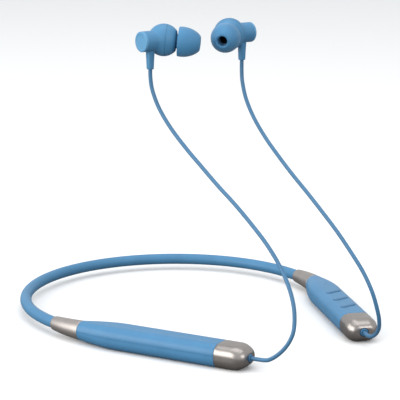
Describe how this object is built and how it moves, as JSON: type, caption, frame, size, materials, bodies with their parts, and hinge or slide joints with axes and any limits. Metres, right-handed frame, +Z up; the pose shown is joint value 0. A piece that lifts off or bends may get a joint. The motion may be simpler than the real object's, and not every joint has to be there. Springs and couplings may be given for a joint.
{
  "type": "neckband earphones",
  "caption": "Blue neckband earphones: a sprung silicone horseshoe band with metal collars, two pods, metal end caps, and two corded in-ear earpieces held up above it.",
  "frame": {"origin": "on the inner face of the band at the back of the neck", "axes": "+Z up, -Y forwards to the pods' tips, +X to the wearer's left"},
  "size_m": [0.1398, 0.1802, 0.1303],
  "materials": {
    "band_silicone": "soft silicone",
    "spring_wire": "drawn wire",
    "dark_lead": "insulated leads",
    "satin_metal": "satin, warm grey",
    "pod_blue": "soft-touch satin",
    "dark_steel": "blackened",
    "cord_blue": "smooth jacket",
    "button_blue": "moulded silicone",
    "board_green": "solder mask",
    "contact_gold": "plated",
    "shield_metal": "tinned",
    "light_pipe": "frosted",
    "cell_wrap": "foil pouch",
    "weight_metal": "sintered",
    "ear_blue": "fine satin",
    "ear_cap_blue": "fine satin",
    "driver_grey": "coated film and can",
    "mesh_black": "woven mesh",
    "tip_silicone": "soft silicone"
  },
  "bodies": {
    "neckband": {"band_sleeve": "band_silicone", "memory_wire": "spring_wire", "lead_bundle": "dark_lead", "left_collar": "satin_metal", "right_collar": "satin_metal", "left_upper_shell": "pod_blue", "left_lower_shell": "pod_blue", "right_upper_shell": "pod_blue", "right_lower_shell": "pod_blue", "left_pod_screws": "dark_steel", "right_pod_screws": "dark_steel", "left_end_cap": "satin_metal", "right_end_cap": "satin_metal", "left_grommet": "cord_blue", "right_grommet": "cord_blue", "main_board": "board_green", "dome_switches": "contact_gold", "radio_module": "shield_metal", "microphone": "contact_gold", "status_light": "light_pipe", "charging_socket": "shield_metal", "battery_cell": "cell_wrap", "cell_board": "board_green", "vibration_motor": "shield_metal", "left_cord": "cord_blue", "right_cord": "cord_blue", "left_strain_relief": "ear_blue", "right_strain_relief": "ear_blue", "left_barrel": "ear_blue", "right_barrel": "ear_blue", "left_back_cap": "ear_cap_blue", "right_back_cap": "ear_cap_blue", "left_magnet": "shield_metal", "right_magnet": "shield_metal", "left_driver": "driver_grey", "right_driver": "driver_grey", "left_nozzle_housing": "ear_blue", "right_nozzle_housing": "ear_blue", "left_nozzle_mesh": "mesh_black", "right_nozzle_mesh": "mesh_black"},
    "volume_up_key": {"volume_up_button": "button_blue"},
    "play_key": {"play_button": "button_blue"},
    "volume_down_key": {"volume_down_button": "button_blue"},
    "motor_rotor": {"motor_weight": "weight_metal"},
    "left_tip": {"left_ear_tip": "tip_silicone"},
    "right_tip": {"right_ear_tip": "tip_silicone"}
  },
  "joints": [
    {"name": "volume_up_press", "type": "slide", "parent": "neckband", "child": "volume_up_key", "axis": [0, 0, -1], "range_m": [0, 0.00035], "stiffness_N_per_m": 3000},
    {"name": "play_press", "type": "slide", "parent": "neckband", "child": "play_key", "axis": [0, 0, -1], "range_m": [0, 0.00035], "stiffness_N_per_m": 3000},
    {"name": "volume_down_press", "type": "slide", "parent": "neckband", "child": "volume_down_key", "axis": [0, 0, -1], "range_m": [0, 0.00035], "stiffness_N_per_m": 3000},
    {"name": "motor_spin", "type": "hinge", "parent": "neckband", "child": "motor_rotor", "pos_m": [-0.03928, -0.13819, 0], "axis": [0.4195, -0.9078, 0], "continuous": true},
    {"name": "left_tip_pull", "type": "slide", "parent": "neckband", "child": "left_tip", "axis": [-0.7518, -0.6536, -0.0872], "range_m": [0, 0.0045]},
    {"name": "right_tip_pull", "type": "slide", "parent": "neckband", "child": "right_tip", "axis": [0.7518, -0.6536, -0.0872], "range_m": [0, 0.0045]}
  ]
}
